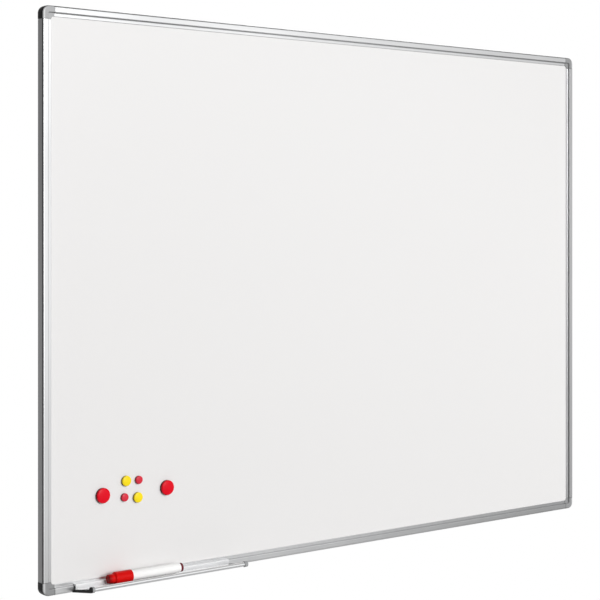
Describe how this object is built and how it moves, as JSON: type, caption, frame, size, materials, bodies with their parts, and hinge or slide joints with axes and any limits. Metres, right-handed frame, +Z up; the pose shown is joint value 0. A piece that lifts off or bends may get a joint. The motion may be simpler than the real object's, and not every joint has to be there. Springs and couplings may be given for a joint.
{
  "type": "whiteboard",
  "caption": "Wall-hung magnetic whiteboard in a slim aluminium frame with corner covers, a sliding clip-on pen tray, a capped marker and round magnets.",
  "frame": {"origin": "middle of the four wall screw holes, in the plane of the wall: the middle of the board's back", "axes": "+X along the board to the right as a reader faces it, +Y into the wall, +Z up"},
  "size_m": [1.2, 0.0726, 0.9],
  "materials": {
    "enamelled_steel": "glossy white enamel, dry wipe",
    "core": "plain honeycomb board",
    "backing_metal": "mill finish",
    "frame_metal": "satin silver anodised",
    "tray_metal": "satin silver anodised",
    "corner_plastic": "satin light grey",
    "connector_plastic": "plain grey",
    "tray_end_plastic": "satin dark grey",
    "marker_white": "glossy white",
    "marker_red": "glossy red",
    "marker_plug_red": "glossy dark red",
    "marker_felt": "felt soaked with red ink",
    "magnet_red": "glossy red",
    "magnet_red_small": "glossy red",
    "magnet_yellow": "glossy yellow",
    "magnet_core": "plain ferrite, dark grey"
  },
  "bodies": {
    "board": {"writing_surface": "enamelled_steel", "core_board": "core", "backing_sheet": "backing_metal", "top_rail": "frame_metal", "bottom_rail": "frame_metal", "left_rail": "frame_metal", "right_rail": "frame_metal", "corner_connector_bottom_left": "connector_plastic", "corner_connector_bottom_right": "connector_plastic", "corner_connector_top_left": "connector_plastic", "corner_connector_top_right": "connector_plastic"},
    "tray": {"tray_profile": "tray_metal", "tray_end_left": "tray_end_plastic", "tray_end_right": "tray_end_plastic"},
    "marker": {"marker_barrel": "marker_white", "marker_nib_holder": "marker_white", "marker_nib": "marker_felt", "marker_ink_reservoir": "marker_felt", "marker_end_plug": "marker_plug_red"},
    "marker_cap": {"marker_cap": "marker_red"},
    "cover_bottom_left": {"corner_cover_bottom_left": "corner_plastic"},
    "cover_bottom_right": {"corner_cover_bottom_right": "corner_plastic"},
    "cover_top_left": {"corner_cover_top_left": "corner_plastic"},
    "cover_top_right": {"corner_cover_top_right": "corner_plastic"},
    "magnet_red_large_left": {"magnet_red_large_left_cap": "magnet_red", "magnet_red_large_left_disc": "magnet_core"},
    "magnet_red_large_right": {"magnet_red_large_right_cap": "magnet_red", "magnet_red_large_right_disc": "magnet_core"},
    "magnet_yellow_upper": {"magnet_yellow_upper_cap": "magnet_yellow", "magnet_yellow_upper_disc": "magnet_core"},
    "magnet_yellow_lower": {"magnet_yellow_lower_cap": "magnet_yellow", "magnet_yellow_lower_disc": "magnet_core"},
    "magnet_red_small_upper": {"magnet_red_small_upper_cap": "magnet_red_small", "magnet_red_small_upper_disc": "magnet_core"},
    "magnet_red_small_lower": {"magnet_red_small_lower_cap": "magnet_red_small", "magnet_red_small_lower_disc": "magnet_core"}
  },
  "joints": [
    {"name": "tray_slide", "type": "slide", "parent": "board", "child": "tray", "axis": [1, 0, 0], "range_m": [-0.03, 0.829]},
    {"name": "marker_lift", "type": "slide", "parent": "tray", "child": "marker", "axis": [0, 0, 1], "range_m": [0, 0.055]},
    {"name": "marker_cap_pull", "type": "slide", "parent": "marker", "child": "marker_cap", "axis": [-1, 0, 0], "range_m": [0, 0.038]},
    {"name": "cover_pull_bottom_left", "type": "slide", "parent": "board", "child": "cover_bottom_left", "axis": [0, -1, 0], "range_m": [0, 0.02]},
    {"name": "cover_pull_bottom_right", "type": "slide", "parent": "board", "child": "cover_bottom_right", "axis": [0, -1, 0], "range_m": [0, 0.02]},
    {"name": "cover_pull_top_left", "type": "slide", "parent": "board", "child": "cover_top_left", "axis": [0, -1, 0], "range_m": [0, 0.02]},
    {"name": "cover_pull_top_right", "type": "slide", "parent": "board", "child": "cover_top_right", "axis": [0, -1, 0], "range_m": [0, 0.02]},
    {"name": "magnet_red_large_left_pull", "type": "slide", "parent": "board", "child": "magnet_red_large_left", "axis": [0, -1, 0], "range_m": [0, 0.04]},
    {"name": "magnet_red_large_right_pull", "type": "slide", "parent": "board", "child": "magnet_red_large_right", "axis": [0, -1, 0], "range_m": [0, 0.04]},
    {"name": "magnet_yellow_upper_pull", "type": "slide", "parent": "board", "child": "magnet_yellow_upper", "axis": [0, -1, 0], "range_m": [0, 0.04]},
    {"name": "magnet_yellow_lower_pull", "type": "slide", "parent": "board", "child": "magnet_yellow_lower", "axis": [0, -1, 0], "range_m": [0, 0.04]},
    {"name": "magnet_red_small_upper_pull", "type": "slide", "parent": "board", "child": "magnet_red_small_upper", "axis": [0, -1, 0], "range_m": [0, 0.04]},
    {"name": "magnet_red_small_lower_pull", "type": "slide", "parent": "board", "child": "magnet_red_small_lower", "axis": [0, -1, 0], "range_m": [0, 0.04]}
  ]
}
